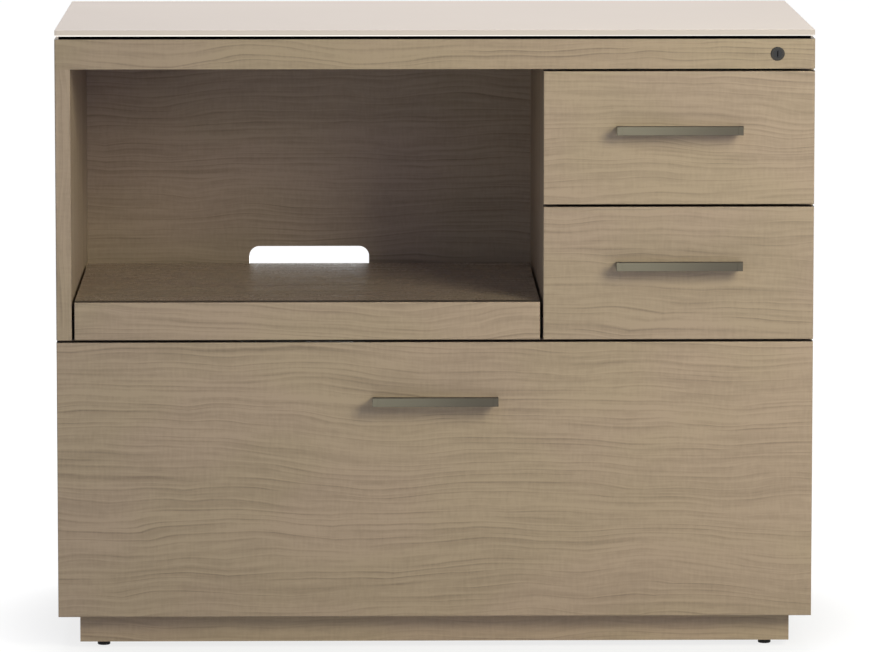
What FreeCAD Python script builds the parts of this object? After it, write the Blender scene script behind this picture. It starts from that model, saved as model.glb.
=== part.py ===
import FreeCAD, Part
import math
import os

# Storage cabinet: an open bay with a pull-out shelf, two box drawers and a wide file drawer.
# Origin: on the floor, under the middle of the whole cabinet with its handles.
# X runs to the right as seen from the front, Y from the front to the back, Z up.

# Driving dimensions, in millimetres

# Overall
overall_width = 914.4
body_depth = 508.0

# Heights of the front, from the floor up
foot_height = 8.0
plinth_height = 34.3
file_front_height = 335.7
drawer_front_height = 161.1
apron_height = 35.9
reveal_height = 3.7
glass_thickness = 7.5
front_gap = 2.8

# Boards
board = 18.6
front_thickness = 19.0
back_thickness = 12.0
bumper_gap = 2.0
front_round = 1.2
corner_round = 1.8

# Glass top and the black strips under it
glass_corner = 4.0
glass_arris = 1.0
spacer_inset = 5.0
spacer_width = 20.0

# Open bay, pull-out shelf and the column of box drawers beside the bay
drawer_width = 326.6
shelf_gap_left = 3.2
shelf_gap_right = 3.8
shelf_front_height = 46.0
cable_space = 72.0
shelf_flange = 18.0
slot_width = 154.0
slot_height = 50.0
slot_corner = 13.0
slot_rise = 14.1

# Plinth and levelling feet
plinth_inset = 25.4
block_size = 38.0
foot_from_rail = 9.1
foot_radius = 7.8
foot_edge = 1.2
stem_radius = 4.0
stem_length = 24.0
insert_radius = 6.0
insert_length = 13.0
stem_room = 1.0
stem_hole_depth = 27.0

# Drawer boxes
box_side = 12.0
box_room_behind = 27.0
box_bottom = 6.0
groove_depth = 5.0
bottom_rise = 8.0
small_box_foot = 14.0
small_box_head = 29.1
file_box_foot = 30.0
file_box_head = 45.7
rear_relief_length = 45.0
rear_relief_depth = 10.0
rail_thickness = 3.0
rail_height = 15.0
rail_setback = 45.0
rail_back_gap = 63.0

# Slides: three nested channels on each side
slide_width = 12.7
slide_height = 45.0
shelf_slide_head = 3.1
slide_gauge = 1.2
slide_step = 1.0
slide_lip = 1.8
slide_setback = 3.0
slide_end_room = 3.0
shelf_slide_end_room = 6.0
small_slide_rise = 40.0
file_slide_rise = 80.0
shelf_slide_rise = 1.5

# Bar handles
handle_length = 152.0
handle_section = 10.5
handle_projection = 28.0
handle_leg = 6.6
handle_post = 6.0
handle_drop = 70.0
handle_arris = 0.4
screw_radius = 2.0
screw_bite = 12.0
screw_head_radius = 4.0
screw_head_height = 2.5

# Lock on the apron and the bar that it moves
lock_from_edge = 45.2
lock_face_radius = 8.35
lock_face_proud = 1.5
lock_barrel_radius = 7.0
lock_barrel_spare = 3.0
lock_nut_width = 20.0
lock_nut_thickness = 3.0
plug_radius = 5.2
plug_sink = 0.4
keyway_width = 1.2
keyway_height = 7.0
keyway_depth = 6.0
tail_radius = 3.5
cam_radius = 10.5
cam_thickness = 2.5
crank_throw = 8.0
crank_radius = 2.0
crank_length = 5.5
bar_width = 12.0
bar_thickness = 4.0
bar_end = 8.0
tab_thickness = 2.0
tab_gap = 1.5
tab_above = 8.0
tab_below = 9.0
tab_reach = 8.0
pin_radius = 2.5
pin_lift = 3.0
pin_reach = 10.0
notch_side_play = 2.0
guide_height = 14.0
guide_thickness = 1.5
guide_lap = 4.0
pocket_room = 2.5

# Cam fittings that draw the case together
fitting_radius = 7.4
fitting_depth = 12.5
fitting_from_end = 34.0
fitting_from_edge = 60.0

# Fits
running = 0.3
thread_play = 0.05
part_play = 0.1
overrun = 5.0
touch = 0.001

# Levels and planes worked out from the sizes above

front = -(body_depth + handle_projection) / 2 + handle_projection
rear = front + body_depth
case_front = front + front_thickness + bumper_gap
board_back = front + front_thickness
bay_back = rear - back_thickness
box_back = bay_back - box_room_behind
shelf_back = bay_back - cable_space
slide_front = board_back + slide_setback

left = -overall_width / 2
right = overall_width / 2
left_inner = left + board
right_inner = right - board
divider_left = right - drawer_width
divider_right = divider_left + board

case_bottom = foot_height + plinth_height
bottom_top = case_bottom + board
file_top = case_bottom + file_front_height
lower_front_bottom = file_top + front_gap
lower_front_top = lower_front_bottom + drawer_front_height
upper_front_bottom = lower_front_top + front_gap
upper_front_top = upper_front_bottom + drawer_front_height
apron_bottom = upper_front_top + front_gap
case_top = apron_bottom + apron_height
glass_bottom = case_top + reveal_height
deck_top = file_top + front_gap / 2
deck_bottom = deck_top - board
ceiling = case_top - board

shelf_top = lower_front_bottom + shelf_front_height
shelf_underside = shelf_top - board
shelf_left = left_inner + shelf_gap_left
shelf_right = divider_left - shelf_gap_right

shelf_slide_bottom = deck_top + shelf_slide_rise
shelf_slide_top = shelf_underside - slide_gauge - shelf_slide_head

lock_x = right - lock_from_edge
lock_z = (apron_bottom + case_top) / 2
barrel_end = case_front + lock_nut_thickness + lock_barrel_spare
crank_face = barrel_end + running

X_AXIS = FreeCAD.Vector(1, 0, 0)
Y_AXIS = FreeCAD.Vector(0, 1, 0)
Z_AXIS = FreeCAD.Vector(0, 0, 1)


def block(x0, x1, y0, y1, z0, z1):
    """A box between two corners."""
    low = FreeCAD.Vector(min(x0, x1), y0, z0)
    return Part.makeBox(abs(x1 - x0), y1 - y0, z1 - z0, low)


def rod(radius, length, x, y, z, axis):
    """A round bar that starts at a point and runs along an axis."""
    return Part.makeCylinder(radius, length, FreeCAD.Vector(x, y, z), axis)


def save(name, solids):
    """Write one node: a single solid, or a group of separate ones."""
    shape = solids[0] if len(solids) == 1 else Part.makeCompound(solids)
    shape.exportStep("parts/" + name + ".step")


def front_edges(solid, y_face):
    """The edges that lie in a front face."""
    return [e for e in solid.Edges if all(abs(v.Y - y_face) < touch for v in e.Vertexes)]


def upright_at(solid, x, y):
    """The upright edges at one corner, seen from above."""
    found = []
    for edge in solid.Edges:
        if all(abs(v.X - x) < touch and abs(v.Y - y) < touch for v in edge.Vertexes):
            found.append(edge)
    return found


# The case

def glass_top():
    """A sheet with rounded corners and softened upper and lower edges."""
    sheet = block(left, right, front, rear, glass_bottom, glass_bottom + glass_thickness)
    corners = []
    for x in (left, right):
        for y in (front, rear):
            corners += upright_at(sheet, x, y)
    sheet = sheet.makeFillet(glass_corner, corners)
    rim = [e for e in sheet.Edges if abs(e.BoundBox.ZLength) < touch]
    return sheet.makeFillet(glass_arris, rim)


def glass_spacers():
    """Black strips round the rim and across the middle, which hold the glass off the case."""
    x0 = left + spacer_inset
    x1 = right - spacer_inset
    y0 = front + spacer_inset
    y1 = rear - spacer_inset
    z0, z1 = case_top, glass_bottom
    strips = [block(x0, x1, y0, y0 + spacer_width, z0, z1),
              block(x0, x1, y1 - spacer_width, y1, z0, z1)]
    bays = 3
    pitch = (x1 - x0 - spacer_width) / bays
    for place in range(bays + 1):
        x = x0 + place * pitch
        strips.append(block(x, x + spacer_width, y0 + spacer_width, y1 - spacer_width, z0, z1))
    return strips


def fitting_places(x0, x1, y0, y1):
    """Where the four cam fittings sit in a flat panel."""
    places = []
    for x in (x0 + fitting_from_end, x1 - fitting_from_end):
        for y in (y0 + fitting_from_edge, y1 - fitting_from_edge):
            places.append((x, y))
    return places


def drill_fittings(panel, z_face):
    """Drill the blind holes for the cam fittings up into a panel's lower face."""
    for x, y in fitting_places(left_inner, right_inner, case_front, rear):
        hole = rod(fitting_radius + part_play, fitting_depth + overrun, x, y, z_face - overrun, Z_AXIS)
        panel = panel.cut(hole)
    return panel


def cam_fittings():
    """Four cam fittings in each of the three flat panels."""
    discs = []
    for z_face in (ceiling, deck_bottom, case_bottom):
        for x, y in fitting_places(left_inner, right_inner, case_front, rear):
            discs.append(rod(fitting_radius, fitting_depth, x, y, z_face, Z_AXIS))
    return discs


def top_panel():
    """The panel under the glass, with a pocket behind the lock."""
    panel = block(left_inner, right_inner, case_front, rear, ceiling, case_top)
    pocket_back = crank_face + cam_thickness + crank_length + pocket_room
    pocket = block(lock_x - cam_radius - pocket_room - tab_gap, right_inner + touch,
                   case_front - overrun, pocket_back,
                   ceiling - overrun, lock_z + cam_radius + pocket_room)
    return drill_fittings(panel.cut(pocket), ceiling)


def front_apron():
    """The rail across the top of the front, bored for the lock."""
    rail = block(left, right, front, case_front, apron_bottom, case_top)
    ends = upright_at(rail, left, front) + upright_at(rail, right, front)
    rail = rail.makeFillet(corner_round, ends)
    bore = rod(lock_barrel_radius + part_play, case_front - front + overrun + overrun,
               lock_x, front - overrun, lock_z, Y_AXIS)
    return rail.cut(bore)


def left_stile():
    """The narrow upright beside the open bay."""
    stile = block(left, left_inner, front, case_front, lower_front_bottom, apron_bottom)
    return stile.makeFillet(corner_round, upright_at(stile, left, front))


def gang_bar_heights():
    """The heights of the three locking pins, each above its drawer's box."""
    tops = (upper_front_top - small_box_head,
            lower_front_top - small_box_head,
            file_top - file_box_head)
    return [top + pin_lift + pin_radius for top in tops]


bar_front = barrel_end
bar_back = bar_front + bar_width
bar_inner = right_inner + running
bar_outer = bar_inner + bar_thickness
bar_top = lock_z + tab_above
bar_bottom = gang_bar_heights()[-1] - bar_end


def side_panel(x_outer, x_inner):
    """A side of the case."""
    return block(x_outer, x_inner, case_front, rear, case_bottom, case_top)


def right_side_panel():
    """The right side, grooved for the lock bar."""
    groove = block(right_inner - overrun, bar_outer + running,
                   bar_front - running, bar_back + running,
                   bar_bottom - crank_throw - pocket_room, bar_top + pocket_room)
    return side_panel(right, right_inner).cut(groove)


def upper_back_panel():
    """The back of the bay and the box drawers, with a round-cornered cable slot."""
    panel = block(left_inner, right_inner, bay_back, rear, deck_top, ceiling)
    middle = (left_inner + divider_left) / 2
    slot_top = shelf_top + slot_rise
    slot = block(middle - slot_width / 2, middle + slot_width / 2,
                 bay_back - overrun, rear + overrun, slot_top - slot_height, slot_top)
    corners = [e for e in slot.Edges if abs(e.BoundBox.YLength) > back_thickness]
    return panel.cut(slot.makeFillet(slot_corner, corners))


plinth_left = left + plinth_inset
plinth_right = right - plinth_inset
plinth_front = front + plinth_inset
plinth_back = rear - plinth_inset


def plinth_rail(x0, x1, y0, y1):
    """One rail of the recessed base."""
    return block(x0, x1, y0, y1, foot_height, case_bottom)


def foot_places():
    """The four feet: a name, a place and the way in from each corner."""
    x_in = plinth_inset + board + foot_from_rail
    return [("front_left", left + x_in, front + x_in, 1, 1),
            ("front_right", right - x_in, front + x_in, -1, 1),
            ("back_left", left + x_in, rear - x_in, 1, -1),
            ("back_right", right - x_in, rear - x_in, -1, -1)]


def corner_blocks():
    """Blocks in the corners of the base, bored for the feet."""
    blocks = []
    inner = plinth_inset + board
    for name, x, y, x_way, y_way in foot_places():
        x0 = (left if x_way > 0 else right) + x_way * inner
        y0 = (front if y_way > 0 else rear) + y_way * inner
        y_far = y0 + y_way * block_size
        piece = block(x0, x0 + x_way * block_size, min(y0, y_far), max(y0, y_far),
                      foot_height, case_bottom)
        wide = rod(insert_radius + part_play, insert_length + overrun,
                   x, y, foot_height - overrun, Z_AXIS)
        deep = rod(stem_radius + stem_room, stem_hole_depth + overrun,
                   x, y, foot_height - overrun, Z_AXIS)
        blocks.append(piece.cut(wide).cut(deep))
    return blocks


def foot_inserts():
    """Threaded inserts that the feet screw into."""
    inserts = []
    for name, x, y, x_way, y_way in foot_places():
        sleeve = rod(insert_radius, insert_length, x, y, foot_height, Z_AXIS)
        bore = rod(stem_radius + thread_play, insert_length + overrun + overrun,
                   x, y, foot_height - overrun, Z_AXIS)
        inserts.append(sleeve.cut(bore))
    return inserts


def levelling_foot(x, y):
    """A round glide on a threaded stem."""
    glide = rod(foot_radius, foot_height, x, y, 0, Z_AXIS)
    lower = [e for e in glide.Edges if abs(e.BoundBox.ZMax) < touch]
    glide = glide.makeFillet(foot_edge, lower)
    return glide.fuse(rod(stem_radius, stem_length, x, y, foot_height, Z_AXIS))


def case_parts():
    """Write every board of the fixed case."""
    save("glass_top", [glass_top()])
    save("glass_spacers", glass_spacers())
    save("top_panel", [top_panel()])
    save("front_apron", [front_apron()])
    save("left_stile", [left_stile()])
    save("left_side_panel", [side_panel(left, left_inner)])
    save("right_side_panel", [right_side_panel()])
    save("centre_divider", [block(divider_left, divider_right, case_front, bay_back,
                                  deck_top, ceiling)])
    deck = block(left_inner, right_inner, case_front, rear, deck_bottom, deck_top)
    save("middle_deck", [drill_fittings(deck, deck_bottom)])
    bottom = block(left_inner, right_inner, case_front, rear, case_bottom, bottom_top)
    save("bottom_panel", [drill_fittings(bottom, case_bottom)])
    save("upper_back_panel", [upper_back_panel()])
    save("lower_back_panel", [block(left_inner, right_inner, bay_back, rear,
                                    bottom_top, deck_bottom)])
    save("cam_fittings", cam_fittings())
    save("plinth_front_rail", [plinth_rail(plinth_left, plinth_right,
                                           plinth_front, plinth_front + board)])
    save("plinth_back_rail", [plinth_rail(plinth_left, plinth_right,
                                          plinth_back - board, plinth_back)])
    sides = [plinth_rail(x, x + way * board, plinth_front + board, plinth_back - board)
             for x, way in ((plinth_left, 1), (plinth_right, -1))]
    save("plinth_side_rails", sides)
    save("plinth_corner_blocks", corner_blocks())
    save("foot_inserts", foot_inserts())
    for name, x, y, x_way, y_way in foot_places():
        save("foot_" + name, [levelling_foot(x, y)])


# Slides

def channel(wall, way, near, far, lip, y0, length, z_mid, height):
    """A channel along Y: a web from near to far off the wall, and two flanges out to the lip."""
    half = height / 2
    web = block(wall + way * near, wall + way * far, y0, y0 + length, z_mid - half, z_mid + half)
    start, end = (far, lip) if lip > far else (lip, near)
    upper = block(wall + way * start, wall + way * end, y0, y0 + length,
                  z_mid + half - slide_gauge, z_mid + half)
    lower = block(wall + way * start, wall + way * end, y0, y0 + length,
                  z_mid - half, z_mid - half + slide_gauge)
    return web.fuse(upper).fuse(lower).removeSplitter()


def slide(wall, way, z_mid, height, length):
    """The cabinet, middle and moving members on one wall."""
    y0 = slide_front
    nest = slide_gauge + running
    middle_web = slide_gauge + slide_step
    moving_web = slide_width - slide_gauge
    cabinet = channel(wall, way, 0, slide_gauge, slide_width - slide_lip - slide_lip,
                      y0, length, z_mid, height)
    middle = channel(wall, way, middle_web, middle_web + slide_gauge, slide_width - slide_lip,
                     y0, length, z_mid, height - nest - nest)
    inner_lip = middle_web + slide_gauge + slide_step
    moving = channel(wall, way, moving_web, slide_width, inner_lip,
                     y0, length, z_mid, height - nest - nest - nest - nest)
    return cabinet, middle, moving


def slide_pair(left_wall, right_wall, z_mid, height, length):
    """The members on both walls, as three groups."""
    on_left = slide(left_wall, 1, z_mid, height, length)
    on_right = slide(right_wall, -1, z_mid, height, length)
    return [list(pair) for pair in zip(on_left, on_right)]


# Handles, with their screws

def handle_places(x_mid, z_top):
    """The middles of a handle's two legs."""
    offset = (handle_length - handle_leg) / 2
    z = z_top - handle_drop
    return [(x_mid - offset, z), (x_mid + offset, z)]


def handle_leg_at(x, z):
    """A leg: a block as deep as the bar at the end, and a lower post from it to the front."""
    half = handle_section / 2
    face = front - handle_projection
    end = block(x - handle_leg / 2, x + handle_leg / 2, face, face + handle_section,
                z - half, z + half)
    end = end.makeFillet(handle_arris, front_edges(end, face))
    post = block(x - handle_leg / 2, x + handle_leg / 2, face + half, front,
                 z - handle_post / 2, z + handle_post / 2)
    hole = rod(screw_radius + thread_play, screw_bite + running + overrun,
               x, front - screw_bite - running, z, Y_AXIS)
    return end.fuse(post).cut(hole)


def handle(x_mid, z_top):
    """A square bar held between two legs."""
    z = z_top - handle_drop
    half = handle_section / 2
    face = front - handle_projection
    reach = handle_length / 2 - handle_leg
    bar = block(x_mid - reach, x_mid + reach, face, face + handle_section, z - half, z + half)
    long_edges = [e for e in bar.Edges if e.BoundBox.XLength > handle_section]
    pieces = [bar.makeFillet(handle_arris, long_edges)]
    legs = [handle_leg_at(x, z) for x, z in handle_places(x_mid, z_top)]
    return pieces + legs


def handle_screws(x_mid, z_top):
    """Two pan-head screws through the drawer front into the legs."""
    screws = []
    for x, z in handle_places(x_mid, z_top):
        shank = rod(screw_radius, screw_bite + front_thickness, x, front - screw_bite, z, Y_AXIS)
        head = rod(screw_head_radius, screw_head_height, x, board_back, z, Y_AXIS)
        screws.append(shank.fuse(head))
    return screws


def front_board(x0, x1, z0, z1):
    """A drawer front with softened edges, drilled for its handle."""
    panel = block(x0, x1, front, board_back, z0, z1)
    panel = panel.makeFillet(front_round, front_edges(panel, front))
    for x, z in handle_places((x0 + x1) / 2, z1):
        hole = rod(screw_radius + part_play, front_thickness + overrun + overrun,
                   x, front - overrun, z, Y_AXIS)
        panel = panel.cut(hole)
    return panel


# Drawers

def drawer_box(wall_left, wall_right, z0, z1):
    """Two sides, a back and a grooved-in bottom, with a locking notch in the right side."""
    x0 = wall_left + slide_width
    x1 = wall_right - slide_width
    y0 = board_back
    y1 = box_back
    floor = block(x0 + box_side - groove_depth, x1 - box_side + groove_depth,
                  y0 - groove_depth, y1 - box_side + groove_depth,
                  z0 + bottom_rise, z0 + bottom_rise + box_bottom)
    relief = block(x0 - overrun, x1 + overrun, y1 - rear_relief_length, y1 + overrun,
                   z1 - rear_relief_depth, z1 + overrun)
    pin_y = (bar_front + bar_back) / 2
    half_notch = pin_radius + notch_side_play
    notch_depth = crank_throw - pin_lift + pin_radius
    notch = block(x1 - box_side - overrun, x1 + overrun, pin_y - half_notch, pin_y + half_notch,
                  z1 - notch_depth, z1 + overrun)
    left_side = block(x0, x0 + box_side, y0, y1, z0, z1).cut(floor).cut(relief)
    right_side = block(x1 - box_side, x1, y0, y1, z0, z1).cut(floor).cut(relief).cut(notch)
    back = block(x0 + box_side, x1 - box_side, y1 - box_side, y1,
                 z0, z1 - rear_relief_depth).cut(floor)
    return left_side, right_side, back, floor


def small_drawer(name, z_bottom, z_top):
    """One of the two box drawers on the right."""
    x_mid = (divider_left + right) / 2
    z0 = z_bottom + small_box_foot
    z1 = z_top - small_box_head
    left_side, right_side, back, floor = drawer_box(divider_right, right_inner, z0, z1)
    save(name + "_front", [front_board(divider_left, right, z_bottom, z_top).cut(floor)])
    save(name + "_sides", [left_side, right_side])
    save(name + "_back", [back])
    save(name + "_bottom", [floor])
    save(name + "_handle", handle(x_mid, z_top))
    save(name + "_handle_screws", handle_screws(x_mid, z_top))
    cabinet, middle, moving = slide_pair(divider_right, right_inner, z0 + small_slide_rise,
                                         slide_height, box_back - slide_end_room - slide_front)
    save(name + "_cabinet_slides", cabinet)
    save(name + "_middle_slides", middle)
    save(name + "_moving_slides", moving)


def hanging_rails(x0, x1, z1):
    """Two strips across the box that hanging files hook over."""
    front_rail = board_back + rail_setback
    back_rail = box_back - box_side - rail_back_gap - rail_thickness
    return [block(x0, x1, y, y + rail_thickness, z1 - rail_height, z1)
            for y in (front_rail, back_rail)]


def file_drawer():
    """The wide file drawer across the whole width."""
    x_mid = (left + right) / 2
    z0 = case_bottom + file_box_foot
    z1 = file_top - file_box_head
    left_side, right_side, back, floor = drawer_box(left_inner, right_inner, z0, z1)
    rails = hanging_rails(left_inner + slide_width, right_inner - slide_width, z1)
    for rail in rails:
        left_side = left_side.cut(rail)
        right_side = right_side.cut(rail)
    save("file_drawer_front", [front_board(left, right, case_bottom, file_top).cut(floor)])
    save("file_drawer_sides", [left_side, right_side])
    save("file_drawer_back", [back])
    save("file_drawer_bottom", [floor])
    save("file_drawer_hanging_rails", rails)
    save("file_drawer_handle", handle(x_mid, file_top))
    save("file_drawer_handle_screws", handle_screws(x_mid, file_top))
    cabinet, middle, moving = slide_pair(left_inner, right_inner, z0 + file_slide_rise,
                                         slide_height, box_back - slide_end_room - slide_front)
    save("file_drawer_cabinet_slides", cabinet)
    save("file_drawer_middle_slides", middle)
    save("file_drawer_moving_slides", moving)


# Pull-out shelf

def pull_out_shelf():
    """The shelf in the bay: a panel behind a deep front, on low slides under the panel."""
    save("shelf_panel", [block(shelf_left, shelf_right, board_back, shelf_back,
                               shelf_underside, shelf_top)])
    fascia = block(shelf_left, shelf_right, front, board_back, lower_front_bottom, shelf_top)
    save("shelf_front", [fascia.makeFillet(front_round, front_edges(fascia, front))])
    z_mid = (shelf_slide_bottom + shelf_slide_top) / 2
    length = shelf_back - shelf_slide_end_room - slide_front
    cabinet, middle, moving = slide_pair(left_inner, divider_left, z_mid,
                                         shelf_slide_top - shelf_slide_bottom, length)
    y0, y1 = slide_front, slide_front + length
    brackets = []
    for member, wall, way in zip(moving, (left_inner, divider_left), (1, -1)):
        near = wall + way * (slide_width - slide_gauge)
        riser = block(near, wall + way * slide_width, y0, y1, z_mid, shelf_underside)
        flange = block(near, wall + way * (slide_width + shelf_flange), y0, y1,
                       shelf_underside - slide_gauge, shelf_underside)
        brackets.append(member.fuse(riser).fuse(flange).removeSplitter())
    save("shelf_cabinet_slides", cabinet)
    save("shelf_middle_slides", middle)
    save("shelf_moving_slides", brackets)


# Lock

def hexagon(width, thickness, x, y, z):
    """A six-sided nut blank along Y."""
    sides = 6
    reach = width / 2 / math.cos(math.pi / sides)
    points = []
    for corner in range(sides + 1):
        angle = 2 * math.pi * corner / sides
        points.append(FreeCAD.Vector(x + reach * math.cos(angle), y, z + reach * math.sin(angle)))
    face = Part.Face(Part.makePolygon(points))
    return face.extrude(Y_AXIS * thickness)


def lock_housing():
    """The fixed barrel with its flange, and the nut that clamps it to the apron."""
    flange = rod(lock_face_radius, lock_face_proud, lock_x, front - lock_face_proud, lock_z, Y_AXIS)
    rim = [e for e in flange.Edges if abs(e.BoundBox.YMax - (front - lock_face_proud)) < touch]
    flange = flange.makeFillet(lock_face_proud / 2, rim)
    barrel = rod(lock_barrel_radius, barrel_end - front, lock_x, front, lock_z, Y_AXIS)
    bore = rod(plug_radius + thread_play, barrel_end - front + overrun + overrun,
               lock_x, front - overrun, lock_z, Y_AXIS)
    nut = hexagon(lock_nut_width, lock_nut_thickness, lock_x, case_front, lock_z)
    nut_bore = rod(lock_barrel_radius + thread_play, lock_nut_thickness + overrun + overrun,
                   lock_x, case_front - overrun, lock_z, Y_AXIS)
    return [flange.fuse(barrel).cut(bore), nut.cut(nut_bore)]


def lock_plug():
    """The turning plug: a keyway in its face and a slim tail that carries the crank."""
    face = front - lock_face_proud + plug_sink
    body = rod(plug_radius, barrel_end - face, lock_x, face, lock_z, Y_AXIS)
    tail = rod(tail_radius, crank_face + cam_thickness - barrel_end,
               lock_x, barrel_end, lock_z, Y_AXIS)
    keyway = block(lock_x - keyway_width / 2, lock_x + keyway_width / 2,
                   face - overrun, face + keyway_depth,
                   lock_z - keyway_height / 2, lock_z + keyway_height / 2)
    return body.fuse(tail).cut(keyway)


def lock_crank():
    """A disc on the plug's tail with one pin off its centre."""
    disc = rod(cam_radius, cam_thickness, lock_x, crank_face, lock_z, Y_AXIS)
    hole = rod(tail_radius + thread_play, cam_thickness + overrun + overrun,
               lock_x, crank_face - overrun, lock_z, Y_AXIS)
    pin = rod(crank_radius, crank_length, lock_x + crank_throw, crank_face + cam_thickness,
              lock_z, Y_AXIS)
    return disc.cut(hole).fuse(pin)


def gang_bar():
    """The upright bar: a slotted tab at the crank and a pin above each drawer's box."""
    strip = block(bar_inner, bar_outer, bar_front, bar_back, bar_bottom, bar_top)
    tab_front = crank_face + cam_thickness + tab_gap
    tab = block(lock_x - tab_reach, bar_inner, tab_front, tab_front + tab_thickness,
                lock_z - tab_below, lock_z + tab_above)
    turn = math.acos(2 / math.pi)
    lag = crank_throw * (math.sin(turn) - turn * 2 / math.pi)
    play = crank_radius + running
    slot = block(lock_x - play, lock_x + crank_throw + play,
                 tab_front - overrun, tab_front + tab_thickness + overrun,
                 lock_z - lag - play, lock_z + play)
    bar = strip.fuse(tab.cut(slot))
    pin_y = (bar_front + bar_back) / 2
    pin_tip = right_inner - slide_width - pin_reach
    for z in gang_bar_heights():
        bar = bar.fuse(rod(pin_radius, bar_inner - pin_tip, pin_tip, pin_y, z, X_AXIS))
    return bar.removeSplitter()


def gang_bar_guides():
    """Thin plates under the two upper pins that keep the bar in its groove."""
    guides = []
    for pin_z in gang_bar_heights()[:-1]:
        z1 = pin_z - pin_radius - crank_throw - guide_lap
        guides.append(block(right_inner - guide_thickness, right_inner,
                            bar_front - guide_lap, bar_back + guide_lap, z1 - guide_height, z1))
    return guides


def lock_parts():
    """Write the lock and its bar."""
    save("lock_housing", lock_housing())
    save("lock_plug", [lock_plug()])
    save("lock_crank", [lock_crank()])
    save("gang_bar", [gang_bar()])
    save("gang_bar_guides", gang_bar_guides())


os.makedirs("parts", exist_ok=True)
case_parts()
small_drawer("upper_drawer", upper_front_bottom, upper_front_top)
small_drawer("lower_drawer", lower_front_bottom, lower_front_top)
file_drawer()
pull_out_shelf()
lock_parts()
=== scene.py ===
import math

import bmesh
import bpy
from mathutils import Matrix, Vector


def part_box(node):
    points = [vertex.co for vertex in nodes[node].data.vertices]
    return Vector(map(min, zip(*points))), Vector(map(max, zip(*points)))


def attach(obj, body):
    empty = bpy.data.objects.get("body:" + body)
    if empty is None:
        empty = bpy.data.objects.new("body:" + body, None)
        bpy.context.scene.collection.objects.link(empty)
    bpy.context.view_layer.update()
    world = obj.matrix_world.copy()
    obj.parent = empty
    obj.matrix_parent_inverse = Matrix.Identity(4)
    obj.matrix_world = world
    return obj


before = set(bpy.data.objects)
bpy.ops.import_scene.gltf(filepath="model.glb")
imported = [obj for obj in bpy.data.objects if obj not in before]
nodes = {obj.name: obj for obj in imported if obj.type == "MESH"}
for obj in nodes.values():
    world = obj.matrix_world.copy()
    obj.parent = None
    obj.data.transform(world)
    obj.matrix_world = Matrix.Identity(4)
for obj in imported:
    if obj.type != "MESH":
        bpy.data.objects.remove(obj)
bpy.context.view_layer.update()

bpy.ops.object.select_all(action="DESELECT")

# Camera, in metres, radians and pixels of the photograph

photo_width = 869
focal_pixels = 6160.5
sensor_width = 36.0
camera_place = (-0.1194, -7.6243, 1.3012)
camera_yaw = 0.01607
camera_pitch = 0.12175
camera_reach = 100.0

# Colours, linear

white = (1.0, 1.0, 1.0, 1.0)
oak_pale = (0.381, 0.293, 0.200, 1.0)
oak_deep = (0.206, 0.153, 0.100, 1.0)
# Painted shade for the gaps between the fronts, put on their top and bottom faces
oak_gap_shade = (0.052, 0.039, 0.028, 1.0)
ply_pale = (0.560, 0.430, 0.280, 1.0)
ply_deep = (0.330, 0.230, 0.140, 1.0)
board_pale = (0.330, 0.235, 0.150, 1.0)
board_deep = (0.160, 0.105, 0.065, 1.0)
glass_face = (0.800, 0.715, 0.650, 1.0)
glass_shade = (0.785, 0.700, 0.635, 1.0)
glass_body = (0.190, 0.170, 0.150, 1.0)
glass_line = (0.350, 0.330, 0.300, 1.0)
# Handle pewter: a painted reflection, paler at the left end, and painted shade on the level
# faces
pewter_painted_light_left = (0.172, 0.159, 0.117, 1.0)
pewter_painted_shade_right = (0.082, 0.072, 0.054, 1.0)
pewter_painted_level_shade = (0.034, 0.027, 0.020, 1.0)
pewter_scratch = (0.780, 0.770, 0.750, 1.0)
zinc_light = (0.600, 0.605, 0.620, 1.0)
zinc_dark = (0.420, 0.425, 0.440, 1.0)
rail_light = (0.660, 0.660, 0.670, 1.0)
black_light = (0.020, 0.019, 0.019, 1.0)
black_dark = (0.008, 0.008, 0.008, 1.0)
foot_light = (0.0075, 0.0072, 0.0072, 1.0)
foot_dark = (0.0030, 0.0029, 0.0029, 1.0)
# Black spacers under the glass, darker than a real finish: painted shade for the gap
reveal_painted_shade_light = (0.0016, 0.0014, 0.0013, 1.0)
reveal_painted_shade_dark = (0.0006, 0.0006, 0.0005, 1.0)
lock_light = (0.024, 0.022, 0.020, 1.0)
lock_dark = (0.010, 0.009, 0.008, 1.0)
plug_light = (0.020, 0.021, 0.025, 1.0)
plug_dark = (0.010, 0.011, 0.014, 1.0)

# Painted light given off by the satin glass, linear: on its faces, its edge and the enamel
# line

face_painted_light = (0.115, 0.100, 0.090, 1.0)
edge_painted_light = (0.435, 0.385, 0.330, 1.0)
line_painted_highlight_left = (0.960, 0.910, 0.850, 1.0)
line_painted_highlight_right = (0.600, 0.575, 0.545, 1.0)

# How the grain runs: turns that bring the grain onto the pattern's own X axis

quarter = math.pi / 2
level = (-quarter, 0.0, 0.0)
upright = (quarter, 0.0, quarter)
upright_side = (0.0, quarter, 0.0)
from_front_to_back = (0.0, 0.0, -quarter)
flat = (0.0, 0.0, 0.0)


# A Mix node has sockets of its own for vectors and for colours, which share their names, so
# they go by their numbers

mix_amount = 0
mix_vectors, mixed_vector = (4, 5), 1
mix_colours, mixed_colour = (6, 7), 2


# Helpers for shader nodes

def fill(tree, node, inputs):
    """Set or link a node's inputs, which are named or numbered."""
    for key, value in inputs.items():
        if isinstance(value, bpy.types.NodeSocket):
            tree.links.new(value, node.inputs[key])
        else:
            node.inputs[key].default_value = value
    return node


def add(tree, kind, inputs=None, **settings):
    """Add a shader node with its settings and inputs."""
    node = tree.nodes.new("ShaderNode" + kind)
    for key, value in settings.items():
        setattr(node, key, value)
    return fill(tree, node, inputs or {})


def calc(tree, operation, *values, clamp=False):
    """One step of arithmetic."""
    node = add(tree, "Math", dict(enumerate(values)), operation=operation, use_clamp=clamp)
    return node.outputs[0]


def measures(tree, vector):
    """The three measures of a place or a direction."""
    return add(tree, "SeparateXYZ", {0: vector}).outputs


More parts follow.
